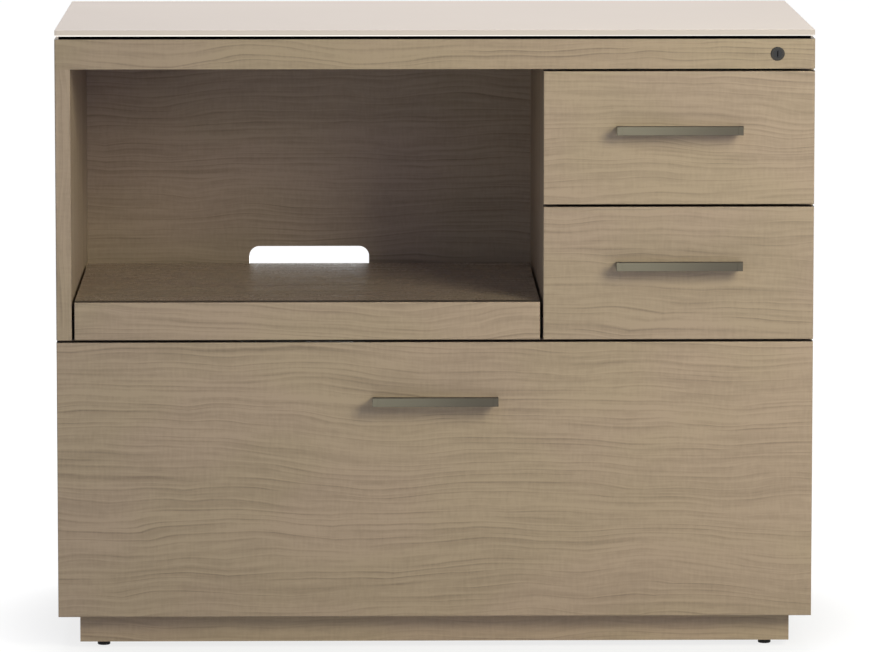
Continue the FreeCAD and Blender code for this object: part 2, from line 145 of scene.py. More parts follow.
def noise(tree, along, across, depth, detail=2.0, roughness=0.5):
    """Smooth noise at a place whose three measures have their own scales."""
    place = add(tree, "CombineXYZ", {0: along, 1: across, 2: depth})
    node = add(tree, "TexNoise", {"Vector": place.outputs[0], "Scale": 1.0,
                                  "Detail": detail, "Roughness": roughness})
    return node.outputs[0]


def swing(tree, value, reach):
    """Noise moved from round one half to round zero, times a reach."""
    return calc(tree, "MULTIPLY", calc(tree, "SUBTRACT", value, 0.5), reach)


def ramp(tree, value, low, high, from_value=0.0, to_value=1.0):
    """A smooth step between two values."""
    node = add(tree, "MapRange", {"Value": value, "From Min": low, "From Max": high,
                                  "To Min": from_value, "To Max": to_value},
               interpolation_type="SMOOTHSTEP")
    return node.outputs[0]


def blend_colours(tree, amount, first, second, how="MIX"):
    """A mix of two colours, or the first one multiplied by the second."""
    first_socket, second_socket = mix_colours
    node = add(tree, "Mix", data_type="RGBA", blend_type=how)
    fill(tree, node, {mix_amount: amount, first_socket: first, second_socket: second})
    return node.outputs[mixed_colour]


def choose_vector(tree, choice, first, second):
    """The first vector where the choice is zero, and the second where it is one."""
    first_socket, second_socket = mix_vectors
    node = add(tree, "Mix", data_type="VECTOR")
    fill(tree, node, {mix_amount: choice, first_socket: first, second_socket: second})
    return node.outputs[mixed_vector]


def shader_group(name, inputs, outputs):
    """A node group with named sockets. The kind of an input follows from its value."""
    kinds = {1: "NodeSocketFloat", 3: "NodeSocketVector", 4: "NodeSocketColor"}
    tree = bpy.data.node_groups.new(name, "ShaderNodeTree")
    for label, value in inputs.items():
        size = len(value) if isinstance(value, tuple) else 1
        socket = tree.interface.new_socket(label, in_out="INPUT", socket_type=kinds[size])
        socket.default_value = value
    for label, kind in outputs.items():
        tree.interface.new_socket(label, in_out="OUTPUT", socket_type=kind)
    enter = tree.nodes.new("NodeGroupInput")
    leave = tree.nodes.new("NodeGroupOutput")
    return tree, enter.outputs, leave


surface_outputs = {"Color": "NodeSocketColor", "Roughness": "NodeSocketFloat",
                   "Height": "NodeSocketFloat"}


# Oak veneer: bends of the growth lines, as scales along, across and into the board and a
# slice of the noise, then the reach of the bend in metres

broad_bend, broad_reach = (1.6, 3.0, 3.0, 0.0), 0.060
middle_bend, middle_reach = (5.5, 9.0, 3.0, 0.0), 0.026
small_bend, small_reach = (19.0, 46.0, 1.0, 0.0), 0.0034
crease_bend, crease_reach = (5.0, 12.0, 1.0, 4.4), -0.022

# Oak veneer: noises, as scales along and across the grain, slice, detail and roughness

uneven_rings = (0.8, 0.55, 6.1, 1.0, 0.5)
line_breaks = (6.0, 3.17, 9.1, 1.0, 0.5)
stripes = (2.4, 0.8, 3.7, 2.0, 0.6)
fibres_along = (15.0, 210.0, 1.3, 3.0, 0.72)
fibres_across = (330.0, 60.0, 8.2, 1.0, 0.5)
pore_dashes = (85.0, 1900.0, 5.3, 1.0, 0.5)
broad_patches = (4.0, 19.0, 7.7, 2.0, 0.5)
hue_drift = (5.0, 9.0, 2.2, 1.0, 0.5)

# Oak veneer: the growth lines, with places and widths in shares of the way to the next line

dark_line, dark_width = 0.60, 0.20
pale_line, pale_width, pale_strength = 0.84, 0.16, 0.75
late_peak, late_end, late_strength = 0.60, 0.62, 0.35
line_variety, line_least = 0.50, 0.33
break_from, break_to, break_least = 0.36, 0.60, 0.12
ring_spread = 2.6

# Oak veneer: how much each effect adds to the tone and the relief

stripe_strength = 1.3
cross_strength = 0.35
pore_from, pore_to, pore_strength = 0.62, 0.74, 0.14
base_tone = 0.16
rough_spread = 0.14
hue_from, hue_to = 0.38, 0.62
warm_tint = (0.994, 1.0, 0.978, 1.0)
cool_tint = (1.014, 1.0, 1.024, 1.0)
fibre_height, line_height, pore_height = 0.35, 0.35, 0.8
saw_slope = 0.9
end_facing = 0.7


# Shared effects

def veneer_group():
    """Flat-cut oak: wandering growth lines, fibres, pores and broad patches of tone."""
    tree, given, leave = shader_group("oak veneer", {
        "Vector": (0.0, 0.0, 0.0), "Normal": (0.0, 0.0, 1.0),
        "Pale": oak_pale, "Deep": oak_deep, "Line spacing": 0.0074,
        "Wander": 1.0, "Lines": 0.50, "Fibres": 1.10, "Patches": 0.42, "Roughness": 0.37},
        surface_outputs)

    def scaled(value, factor):
        return calc(tree, "MULTIPLY", value, factor)

    def off(value, middle):
        return calc(tree, "ABSOLUTE", calc(tree, "SUBTRACT", value, middle))

    def over_board(along, across, inward, cut_at):
        depth = calc(tree, "ADD", scaled(deep, inward), cut_at)
        return noise(tree, scaled(run, along), scaled(side, across), depth, detail=1.0)

    def over_grain(position, along, across, cut_at, detail, roughness):
        return noise(tree, scaled(run, along), scaled(position, across), cut_at,
                     detail, roughness)

    place = measures(tree, given["Vector"])
    facing = measures(tree, given["Normal"])
    end_face = calc(tree, "GREATER_THAN", calc(tree, "ABSOLUTE", facing[0]), end_facing)
    turned = add(tree, "CombineXYZ", {0: place[1], 1: place[2], 2: place[0]})
    run, side, deep = measures(tree, choose_vector(tree, end_face, given["Vector"],
                                                   turned.outputs[0]))
    cut = calc(tree, "MULTIPLY_ADD", deep, saw_slope, side)

    crease = calc(tree, "ABSOLUTE", swing(tree, over_board(*crease_bend), 1.0))
    bend = calc(tree, "ADD", swing(tree, over_board(*broad_bend), broad_reach),
                swing(tree, over_board(*middle_bend), middle_reach))
    bend = calc(tree, "ADD", bend, calc(tree, "MULTIPLY_ADD", crease, crease_reach,
                                        swing(tree, over_board(*small_bend), small_reach)))
    bent = calc(tree, "MULTIPLY_ADD", bend, given["Wander"], cut)
    ring = calc(tree, "DIVIDE", bent, given["Line spacing"])
    ring = calc(tree, "ADD", ring, swing(tree, over_grain(ring, *uneven_rings), ring_spread))

    age = calc(tree, "FRACT", ring)
    number = calc(tree, "FLOOR", ring)
    weight = add(tree, "TexWhiteNoise", {"W": number}, noise_dimensions="1D").outputs["Value"]
    fade = ramp(tree, over_grain(number, *line_breaks), break_from, break_to, break_least)
    strength = calc(tree, "MULTIPLY", fade,
                    calc(tree, "MULTIPLY_ADD", weight, line_variety, line_least))
    line = calc(tree, "SUBTRACT", ramp(tree, off(age, dark_line), 0.0, dark_width, 1.0, 0.0),
                ramp(tree, off(age, pale_line), 0.0, pale_width, pale_strength, 0.0))
    line = calc(tree, "MULTIPLY", line, strength)
    late_wood = calc(tree, "MULTIPLY", ramp(tree, age, 0.0, late_peak, 0.0, late_strength),
                     calc(tree, "LESS_THAN", age, late_end))
    late_wood = calc(tree, "MULTIPLY", late_wood, fade)
    figure = calc(tree, "ADD", calc(tree, "ADD", line, late_wood),
                  swing(tree, over_grain(ring, *stripes), stripe_strength))
    lines = calc(tree, "MULTIPLY", figure, given["Lines"])

    fibre = over_grain(bent, *fibres_along)
    cross = over_grain(bent, *fibres_across)
    fibres = calc(tree, "MULTIPLY", calc(tree, "ADD", swing(tree, fibre, 1.0),
                                         swing(tree, cross, cross_strength)), given["Fibres"])
    pores = ramp(tree, over_grain(bent, *pore_dashes), pore_from, pore_to)
    patch = over_grain(bent, *broad_patches)
    patches = calc(tree, "MULTIPLY", swing(tree, patch, 1.0), given["Patches"])

    tone = calc(tree, "ADD", calc(tree, "ADD", lines, fibres),
                calc(tree, "MULTIPLY_ADD", pores, pore_strength, patches))
    tone = calc(tree, "ADD", tone, base_tone, clamp=True)
    wood = blend_colours(tree, tone, given["Pale"], given["Deep"])
    hue = ramp(tree, over_grain(side, *hue_drift), hue_from, hue_to)
    tint = blend_colours(tree, hue, warm_tint, cool_tint)
    colour = blend_colours(tree, 1.0, wood, tint, "MULTIPLY")
    rough = calc(tree, "MULTIPLY_ADD", tone, rough_spread, given["Roughness"])
    height = calc(tree, "SUBTRACT", scaled(fibre, fibre_height),
                  calc(tree, "MULTIPLY_ADD", pores, pore_height, scaled(line, line_height)))
    fill(tree, leave, {"Color": colour, "Roughness": rough, "Height": height})
    return tree


def edge_group():
    """How near a surface is to a sharp edge: one on the edge and zero away from it."""
    tree, given, leave = shader_group("edge wear", {"Width": 0.0008, "Strength": 1.0},
                                      {"Mask": "NodeSocketFloat"})
    on_edge, off_edge = 0.72, 0.995
    rounded = add(tree, "Bevel", {"Radius": given["Width"]}, samples=4)
    true_normal = add(tree, "NewGeometry").outputs["Normal"]
    match = add(tree, "VectorMath", {0: rounded.outputs[0], 1: true_normal},
                operation="DOT_PRODUCT")
    near = ramp(tree, match.outputs["Value"], on_edge, off_edge, 1.0, 0.0)
    fill(tree, leave, {"Mask": calc(tree, "MULTIPLY", near, given["Strength"])})
    return tree


def brushed_group():
    """Metal with fine straight scratches along the pattern's X axis."""
    tree, given, leave = shader_group("brushed metal", {
        "Vector": (0.0, 0.0, 0.0), "Light": zinc_light, "Dark": zinc_dark,
        "Fineness": 2600.0, "Roughness": 0.34, "Scratches": 0.35}, surface_outputs)
    scratch_scale, cloud_scale = 22.0, 30.0
    scratch_strength, cloud_strength, middle_tone, rough_swing = 1.6, 0.5, 0.45, 0.16
    run, side, deep = measures(tree, given["Vector"])
    along = calc(tree, "MULTIPLY", run, scratch_scale)
    across = calc(tree, "MULTIPLY", side, given["Fineness"])
    inward = calc(tree, "MULTIPLY", deep, given["Fineness"])
    fine = noise(tree, along, across, inward, detail=2.0, roughness=0.6)
    cloud = noise(tree, *(calc(tree, "MULTIPLY", axis, cloud_scale)
                          for axis in (run, side, deep)))
    scratches = calc(tree, "MULTIPLY", swing(tree, fine, scratch_strength),
                     given["Scratches"])
    tone = calc(tree, "ADD", scratches,
                calc(tree, "ADD", swing(tree, cloud, cloud_strength), middle_tone), clamp=True)
    colour = blend_colours(tree, tone, given["Light"], given["Dark"])
    rough = calc(tree, "MULTIPLY_ADD", fine, rough_swing, given["Roughness"])
    fill(tree, leave, {"Color": colour, "Roughness": rough, "Height": fine})
    return tree


def speckled_group():
    """Moulded, lacquered or powdery surfaces: a fine even speckle with a little clouding."""
    tree, given, leave = shader_group("fine speckle", {
        "Vector": (0.0, 0.0, 0.0), "Light": black_light, "Dark": black_dark,
        "Size": 0.0006, "Roughness": 0.5, "Spread": 0.12}, surface_outputs)
    cloud_scale, cloud_strength, middle_tone = 9.0, 0.8, 0.5
    per_metre = calc(tree, "DIVIDE", 1.0, given["Size"])
    scaled = add(tree, "VectorMath", {"Vector": given["Vector"], "Scale": per_metre},
                 operation="SCALE")
    speckle = add(tree, "TexNoise", {"Vector": scaled.outputs[0], "Scale": 1.0,
                                     "Detail": 2.0}).outputs[0]
    cloud = add(tree, "TexNoise", {"Vector": given["Vector"], "Scale": cloud_scale,
                                   "Detail": 2.0}).outputs[0]
    tone = calc(tree, "ADD", swing(tree, speckle, 1.0),
                calc(tree, "ADD", swing(tree, cloud, cloud_strength), middle_tone), clamp=True)
    colour = blend_colours(tree, tone, given["Light"], given["Dark"])
    rough = calc(tree, "MULTIPLY_ADD", tone, given["Spread"], given["Roughness"])
    fill(tree, leave, {"Color": colour, "Roughness": rough, "Height": speckle})
    return tree


oak_veneer = veneer_group()
edge_wear = edge_group()
brushed_metal = brushed_group()
fine_speckle = speckled_group()

# Relief of a surface, as strength and depth in metres; wear of an edge, as width and strength;
# and how far up or down a face points where its painted shade starts and is full, on the
# fronts for the gaps between them and on the handles' level faces

wood_relief = (0.12, 0.0003)
glass_relief = (0.05, 0.0001)
metal_relief = (0.12, 0.0001)
handle_relief = (0.15, 0.0001)
speckle_relief = (0.20, 0.0001)
wood_wear = {"Width": 0.0007, "Strength": 0.35}
metal_wear = {"Width": 0.0005, "Strength": 0.30}
gap_shade_band = (0.80, 0.95)
handle_shade_band = (0.30, 0.75)


# Materials

def start_material(name):
    """An empty material with its surface shader."""
    material = bpy.data.materials.new(name)
    material.use_nodes = True
    tree = material.node_tree
    tree.nodes.clear()
    shader = add(tree, "BsdfPrincipled")
    add(tree, "OutputMaterial", {"Surface": shader.outputs[0]})
    return material, tree, shader


def use_group(tree, group, inputs):
    """Place a shared effect in a material."""
    node = add(tree, "Group", node_tree=group)
    return fill(tree, node, inputs).outputs


def pattern_place(tree, turn=flat, shift=(0.0, 0.0, 0.0)):
    """Object coordinates turned and moved onto the pattern's axes."""
    place = add(tree, "TexCoord").outputs["Object"]
    return add(tree, "Mapping", {"Vector": place, "Rotation": turn, "Location": shift},
               vector_type="POINT").outputs[0]


def pattern_facing(tree, turn=flat):
    """The object's own normal turned onto the pattern's axes."""
    facing = add(tree, "TexCoord").outputs["Normal"]
    return add(tree, "Mapping", {"Vector": facing, "Rotation": turn},
               vector_type="VECTOR").outputs[0]


def raise_surface(tree, shader, height, relief):
    """Fine relief."""
    strength, distance = relief
    bump = add(tree, "Bump", {"Height": height, "Strength": strength, "Distance": distance})
    fill(tree, shader, {"Normal": bump.outputs[0]})


def wood_material(name, turn, shift, pale=oak_pale, deep=oak_deep, painted_gap_shade=False,
                  **changes):
    """Lacquered veneer on one board, with its own stretch of grain."""
    material, tree, shader = start_material(name)
    inputs = {"Vector": pattern_place(tree, turn, shift),
              "Normal": pattern_facing(tree, turn), "Pale": pale, "Deep": deep}
    wood = use_group(tree, oak_veneer, inputs | changes)
    edge = use_group(tree, edge_wear, wood_wear)
    colour = blend_colours(tree, edge["Mask"], wood["Color"], deep)
    # Painted shade for the gaps between fronts: their top and bottom faces are darkened
    if painted_gap_shade:
        up = measures(tree, add(tree, "TexCoord").outputs["Normal"])[2]
        gap_shade_face = ramp(tree, calc(tree, "ABSOLUTE", up), *gap_shade_band)
        colour = blend_colours(tree, gap_shade_face, colour, oak_gap_shade)
    fill(tree, shader, {"Base Color": colour, "Roughness": wood["Roughness"]})
    raise_surface(tree, shader, wood["Height"], wood_relief)
    return material


def glass_material():
    """Satin glass, enamelled behind, with its body and the enamel line seen at the edge, and
    painted light as emission.
    """
    line_full, line_end, highlight_dims_from = 0.0008, 0.0016, -0.30
    all_side, all_top = 0.45, 0.90
    material, tree, shader = start_material("satin glass")
    place = pattern_place(tree)
    speckle = use_group(tree, fine_speckle, {"Vector": place, "Light": glass_face,
                                             "Dark": glass_shade, "Size": 0.0004,
                                             "Roughness": 0.66, "Spread": 0.06})
    low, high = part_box("glass_top")
    along, _, height = measures(tree, place)
    up = measures(tree, pattern_facing(tree))[2]
    side = calc(tree, "SUBTRACT", 1.0, ramp(tree, up, all_side, all_top))
    body = blend_colours(tree, side, speckle["Color"], glass_body)
    line = ramp(tree, height, low[2] + line_full, low[2] + line_end, 1.0, 0.0)
    colour = blend_colours(tree, line, body, glass_line)
    # Painted highlight along the enamel line, dimming towards the right end
    right = ramp(tree, along, highlight_dims_from, high[0])
    line_painted_highlight = blend_colours(tree, right, line_painted_highlight_left, line_painted_highlight_right)
    # Painted light as emission: a sheen on the faces, a lighter edge and the line's highlight
    glow = blend_colours(tree, side, face_painted_light,
                         blend_colours(tree, line, edge_painted_light, line_painted_highlight))
    fill(tree, shader, {"Base Color": colour, "Roughness": speckle["Roughness"],
                        "Specular IOR Level": 0.25, "Emission Color": glow,
                        "Emission Strength": 1.0})
    raise_surface(tree, shader, speckle["Height"], glass_relief)
    return material


def metal_material(name, turn, light, dark, roughness):
    """Brushed or drawn metal."""
    material, tree, shader = start_material(name)
    brushed = use_group(tree, brushed_metal, {"Vector": pattern_place(tree, turn),
                                              "Light": light, "Dark": dark,
                                              "Roughness": roughness})
    edge = use_group(tree, edge_wear, metal_wear)
    colour = blend_colours(tree, edge["Mask"], brushed["Color"], light)
    fill(tree, shader, {"Base Color": colour, "Roughness": brushed["Roughness"],
                        "Metallic": 1.0})
    raise_surface(tree, shader, brushed["Height"], metal_relief)
    return material


def handle_material(node):
    """Brushed dark pewter, with a painted reflection that is paler towards the left end, and
    painted shade on its level faces.
    """
    material, tree, shader = start_material(node + " pewter")
    place = pattern_place(tree)
    low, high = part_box(node)
    # Painted reflection: paler at the left end, darker at the right
    right = ramp(tree, measures(tree, place)[0], low[0], high[0])
    tone = blend_colours(tree, right, pewter_painted_light_left, pewter_painted_shade_right)
    # Painted shade on the top and bottom faces
    up = measures(tree, pattern_facing(tree))[2]
    painted_level_shade = ramp(tree, calc(tree, "ABSOLUTE", up), *handle_shade_band)
    tone = blend_colours(tree, painted_level_shade, tone, pewter_painted_level_shade)
    brushed = use_group(tree, brushed_metal, {"Vector": place, "Light": white,
                                              "Dark": pewter_scratch,
                                              "Roughness": 0.42, "Scratches": 0.5})
    colour = blend_colours(tree, 1.0, tone, brushed["Color"], "MULTIPLY")
    fill(tree, shader, {"Base Color": colour, "Roughness": brushed["Roughness"],
                        "Metallic": 0.55})
    raise_surface(tree, shader, brushed["Height"], handle_relief)
    return material


def speckled_material(name, light, dark, roughness, gloss=0.5, size=0.0006):
    """Moulded plastic, lacquer or rubber."""
    material, tree, shader = start_material(name)
    speckle = use_group(tree, fine_speckle, {"Vector": pattern_place(tree), "Light": light,
                                             "Dark": dark, "Size": size,
                                             "Roughness": roughness})
    fill(tree, shader, {"Base Color": speckle["Color"], "Roughness": speckle["Roughness"],
                        "Specular IOR Level": gloss})
    raise_surface(tree, shader, speckle["Height"], speckle_relief)
    return material


def dress(node, material):
    """Give a node its material."""
    for slot in nodes[node].material_slots:
        slot.material = material


# The wood of each board: how the grain runs, and where on the veneer it was cut

boards = {
    "front_apron": (level, (0.31, 0.12, 0.4)),
    "left_stile": (upright, (0.7, 0.33, 0.1)),
    "left_side_panel": (upright_side, (1.3, 0.2, 0.7)),
    "right_side_panel": (upright_side, (2.1, 0.6, 0.3)),
    "centre_divider": (upright_side, (0.4, 0.9, 0.5)),
    "top_panel": (flat, (0.2, 0.1, 1.7)),
    "middle_deck": (flat, (1.9, 0.4, 0.2)),
    "bottom_panel": (flat, (0.8, 1.4, 0.6)),
    "upper_back_panel": (level, (0.55, 0.85, 1.1)),
    "lower_back_panel": (level, (1.45, 0.25, 0.9)),
    "plinth_front_rail": (level, (2.3, 0.5, 0.2)),
    "plinth_back_rail": (level, (0.9, 1.2, 0.8)),
    "plinth_side_rails": (from_front_to_back, (1.7, 0.7, 0.4)),
    "shelf_panel": (flat, (0.66, 0.31, 0.9)),
    "shelf_front": (level, (1.15, 0.42, 0.3)),
    "upper_drawer_front": (level, (0.35, 1.55, 0.6)),
    "lower_drawer_front": (level, (1.85, 1.05, 0.7)),
    "file_drawer_front": (level, (0.05, 0.65, 1.3)),
}

# Fronts whose top and bottom faces are darkened as painted shade for the gaps between them;
# boards with painted light and shade, as factors on red, green and blue, bluer inside the open
# bay as painted cool fill; and how rough the lacquer is

fronts_with_gap_shade = ("front_apron", "shelf_front", "upper_drawer_front", "lower_drawer_front",
              "file_drawer_front")
plain_tone = (1.0, 1.0, 1.0)
painted_light_tones = {
    "front_apron": (0.93, 0.93, 0.90),
    "upper_drawer_front": (0.97, 0.97, 0.97),
    "lower_drawer_front": (0.95, 0.95, 0.96),
    "shelf_panel": (1.06, 1.07, 1.15),
    "upper_back_panel": (1.05, 1.05, 1.12),
    "left_side_panel": (1.03, 1.04, 1.11),
    "centre_divider": (1.03, 1.06, 1.11),
    "plinth_front_rail": (1.05, 1.04, 1.01),
}
board_roughness = 0.37
own_roughness = {"shelf_panel": 0.24}

drawers = ("upper_drawer", "lower_drawer", "file_drawer")
sliding = drawers + ("shelf",)


def toned(colour, tone):
    """A colour with its red, green and blue made darker or paler."""
    return tuple(part * share for part, share in zip(colour, tone)) + (1.0,)


def dress_case():
    """Boards, glass, the black reveal, the lock and the feet."""
    for node, (turn, shift) in boards.items():
        # Painted light and shade per board, and on the fronts painted shade for the gaps
        tone = painted_light_tones.get(node, plain_tone)
        dress(node, wood_material(node.replace("_", " ") + " veneer", turn, shift,
                                  toned(oak_pale, tone), toned(oak_deep, tone),
                                  painted_gap_shade=node in fronts_with_gap_shade,
                                  Roughness=own_roughness.get(node, board_roughness)))
    dress("glass_top", glass_material())
    # A black strip, darker than a real finish, that paints the shade in the gap under the
    # glass
    dress("glass_spacers", speckled_material("black reveal", reveal_painted_shade_light, reveal_painted_shade_dark,
                                             roughness=0.9, gloss=0.02))
    dress("plinth_corner_blocks", wood_material("raw board", upright, (0.3, 0.2, 0.9),
                                                board_pale, board_deep, Lines=0.5))
    dress("lock_housing", speckled_material("black lacquer", lock_light, lock_dark,
                                            roughness=0.5, gloss=0.35))
    dress("lock_plug", speckled_material("plug lacquer", plug_light, plug_dark,
                                         roughness=0.5, gloss=0.3))
    foot = speckled_material("moulded foot", foot_light, foot_dark, roughness=0.5,
                             gloss=0.25)
    for corner in ("front_left", "front_right", "back_left", "back_right"):
        dress("foot_" + corner, foot)


def birch(name, turn, shift):
    """Birch ply, with a fainter figure than the oak."""
    return wood_material(name, turn, shift, ply_pale, ply_deep, Lines=0.16, Fibres=0.2)


def dress_drawers():
    """Boxes, rails, handles, slides and the lock's works."""
    zinc_along = metal_material("zinc, rolled", from_front_to_back, zinc_light, zinc_dark,
                                roughness=0.34)
    zinc_flat = metal_material("zinc, pressed", flat, zinc_light, zinc_dark, roughness=0.38)
    slide_coat = speckled_material("black slide coat", black_light, black_dark,
                                   roughness=0.6)
    box_sides = birch("birch side", from_front_to_back, (0.4, 0.7, 0.2))
    box_back = birch("birch back", level, (1.4, 0.3, 0.6))
    box_bottom = birch("birch bottom", flat, (0.9, 0.8, 0.1))
    for drawer in drawers:
        dress(drawer + "_sides", box_sides)
        dress(drawer + "_back", box_back)
        dress(drawer + "_bottom", box_bottom)
        dress(drawer + "_handle", handle_material(drawer + "_handle"))
        dress(drawer + "_handle_screws", zinc_flat)
    for body in sliding:
        finish = slide_coat if body == "shelf" else zinc_along
        for member in ("cabinet", "middle", "moving"):
            dress(body + "_" + member + "_slides", finish)
    dress("file_drawer_hanging_rails",
          metal_material("rail aluminium", flat, rail_light, zinc_light, roughness=0.3))
    for node in ("cam_fittings", "foot_inserts", "lock_crank", "gang_bar", "gang_bar_guides"):
        dress(node, zinc_flat)


# Small pieces that the solids leave out, in metres

round_sides = 28
facing_along = 0.9
smooth_angle = math.radians(35.0)
soft_edge, fine_edge = 0.0003, 0.0002

bumper_radius = 0.0042
bumper_thickness = 0.0018
bumper_from_edge = 0.0095
bumper_rim, bumper_crown = 0.0009, 0.0002

lip_to_web = 0.0071

screw_radius = 0.0034
screw_thickness = 0.0013
screw_steps = (0.035, 0.175, 0.315)
screw_rim, screw_crown = 0.0009, 0.0003
socket_rim, socket_draft, socket_depth = 0.0010, 0.0001, 0.0007

lever_from_front = 0.215
lever_length, lever_thickness, lever_height = 0.034, 0.0026, 0.0075
neck_length, neck_share, tip_share = 0.009, 0.55, 1.9
groove_rim, groove_depth = 0.0014, 0.0008
thumb_height, thumb_share = 0.004, 0.7

channel_wall = 0.0012
stop_length, stop_thickness = 0.007, 0.0018
stop_from_front, stop_clearance = 0.001, 0.012
stop_rim, stop_dish = 0.0014, 0.0004


def begin(place, size, lying=None):
    """Start a piece from a block, or from a round that lies along an axis."""
    bpy.ops.object.select_all(action="DESELECT")
    if lying:
        turn = {"x": (0.0, quarter, 0.0), "y": (quarter, 0.0, 0.0)}[lying]
        bpy.ops.mesh.primitive_cylinder_add(vertices=round_sides, radius=size[0],
                                            depth=size[1], location=place, rotation=turn)
    else:
        bpy.ops.mesh.primitive_cube_add(size=1.0, location=place, scale=size)
    bpy.ops.object.transform_apply(location=True, rotation=True, scale=True)
    bpy.ops.object.mode_set(mode="EDIT")
    bpy.ops.mesh.select_mode(type="FACE")
    return bpy.context.object


def pick_faces(piece, wanted):
    """In edit mode, select the faces whose middle and normal fit."""
    bpy.ops.mesh.select_all(action="DESELECT")
    mesh = bmesh.from_edit_mesh(piece.data)
    for face in mesh.faces:
        face.select_set(bool(wanted(face.calc_center_median(), face.normal)))
    mesh.select_flush_mode()
    bmesh.update_edit_mesh(piece.data)


def repeat(shift):
    """In edit mode, copy what is selected and move the copy, which is then selected."""
    bpy.ops.mesh.duplicate()
    bpy.ops.transform.translate(value=shift)


def mirror_to_right(middle):
    """In edit mode, copy the whole piece to the other side, mirrored left to right."""
    bpy.ops.mesh.select_all(action="SELECT")
    bpy.ops.mesh.duplicate()
    bpy.ops.transform.resize(value=(-1.0, 1.0, 1.0), center_override=middle)


def complete(piece, name, body, material, soften, segments=2):
    """Leave edit mode, soften the edges, smooth the shading and let the piece ride."""
    bpy.ops.mesh.select_all(action="SELECT")
    bpy.ops.mesh.normals_make_consistent(inside=False)
    bpy.ops.object.mode_set(mode="OBJECT")
    bevel = piece.modifiers.new("soft edges", "BEVEL")
    bevel.width = soften
    bevel.segments = segments
    bevel.limit_method = "ANGLE"
    bpy.ops.object.modifier_apply(modifier=bevel.name)
    bpy.ops.object.shade_smooth_by_angle(angle=smooth_angle)
    piece.name = name
    piece.data.materials.append(material)
    piece.select_set(False)
    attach(piece, body)


def drawer_bumpers(body, material):
    """Four dots on the back of a drawer front, where it meets the case."""
    low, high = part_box(body + "_front")
    y = high[1] + bumper_thickness / 2
    start = Vector((low[0] + bumper_from_edge, y, low[2] + bumper_from_edge))
    piece = begin(start, (bumper_radius, bumper_thickness), "y")
    pick_faces(piece, lambda middle, normal: normal.y > facing_along)
    bpy.ops.mesh.inset(thickness=bumper_rim)
    bpy.ops.transform.translate(value=(0.0, -bumper_crown, 0.0))
    bpy.ops.mesh.select_all(action="SELECT")
    across = high[0] - low[0] - 2 * bumper_from_edge
    up = high[2] - low[2] - 2 * bumper_from_edge
    repeat((across, 0.0, 0.0))
    repeat((0.0, 0.0, up))
    repeat((-across, 0.0, 0.0))
    complete(piece, body + "_bumpers", body, material, soft_edge)


def slide_middle(body):
    """The point half-way between a pair of moving members."""
    low, high = (Vector(corner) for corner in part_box(body + "_moving_slides"))
    return (low + high) / 2


def slide_screws(body, material):
    """Pan-head screws that hold the moving members to the box sides."""
    low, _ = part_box(body + "_moving_slides")
    middle = slide_middle(body)
    x = low[0] + lip_to_web - screw_thickness / 2
    y = low[1] + screw_steps[0]
    piece = begin((x, y, middle.z), (screw_radius, screw_thickness), "x")
    pick_faces(piece, lambda place, normal: normal.x < -facing_along)
    bpy.ops.mesh.inset(thickness=screw_rim)
    bpy.ops.transform.translate(value=(-screw_crown, 0.0, 0.0))
    bpy.ops.mesh.inset(thickness=socket_rim)
    bpy.ops.mesh.inset(thickness=socket_draft)
    bpy.ops.transform.translate(value=(socket_depth, 0.0, 0.0))
    bpy.ops.mesh.select_all(action="SELECT")
    for before, after in zip(screw_steps, screw_steps[1:]):
        repeat((0.0, after - before, 0.0))
    mirror_to_right(middle)
    complete(piece, body + "_slide_screws", body, material, fine_edge,
             segments=1)


def release_levers(body, material):
    """Moulded levers in the moving members that let the drawer off its slides."""
    low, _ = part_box(body + "_moving_slides")
    middle = slide_middle(body)
    x = low[0] + lip_to_web - lever_thickness / 2
    y = low[1] + lever_from_front
    neck_end = y - lever_length / 2
    piece = begin((x, y, middle.z), (lever_thickness, lever_length, lever_height))
    pick_faces(piece, lambda place, normal: normal.y < -facing_along)
    bpy.ops.transform.resize(value=(1.0, 1.0, neck_share))
    bpy.ops.mesh.extrude_region_move(
        TRANSFORM_OT_translate={"value": (0.0, -neck_length, 0.0)})
    bpy.ops.transform.resize(value=(1.0, 1.0, tip_share))
    pick_faces(piece, lambda place, normal: normal.x < -facing_along and place.y > neck_end)
    bpy.ops.mesh.inset(thickness=groove_rim)
    bpy.ops.transform.translate(value=(groove_depth, 0.0, 0.0))
    pick_faces(piece, lambda place, normal: normal.z < -facing_along and place.y < neck_end)
    bpy.ops.mesh.extrude_region_move(
        TRANSFORM_OT_translate={"value": (0.0, 0.0, -thumb_height)})
    bpy.ops.transform.resize(value=(1.0, thumb_share, 1.0))
    mirror_to_right(middle)
    complete(piece, body + "_release_levers", body, material, soft_edge)


def slide_stops(body, material):
    """Rubber stops in the front ends of the middle members."""
    low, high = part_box(body + "_middle_slides")
    middle = slide_middle(body)
    x = low[0] + channel_wall + stop_thickness / 2
    y = low[1] + stop_length / 2 + stop_from_front
    stop_height = high[2] - low[2] - stop_clearance
    piece = begin((x, y, middle.z), (stop_thickness, stop_length, stop_height))
    pick_faces(piece, lambda place, normal: normal.x > facing_along)
    bpy.ops.mesh.inset(thickness=stop_rim)
    bpy.ops.transform.translate(value=(-stop_dish, 0.0, 0.0))
    mirror_to_right(middle)
    complete(piece, body + "_slide_stops", body + "_middle", material, soft_edge)


def small_pieces():
    """Fasteners, levers, stops and bumpers."""
    rubber = speckled_material("black rubber", black_light, black_dark, roughness=0.65,
                               size=0.0004)
    zinc = metal_material("zinc screw", flat, zinc_light, zinc_dark, roughness=0.3)
    for drawer in drawers:
        drawer_bumpers(drawer, rubber)
    for body in sliding:
        slide_screws(body, zinc)
        release_levers(body, rubber)
        slide_stops(body, rubber)


# Studio: the lamps as aim, turn and rise in degrees, distance and size in metres, watts and
# colour. The back light stays below the shelf, so that it doesn't shine in through the slot.

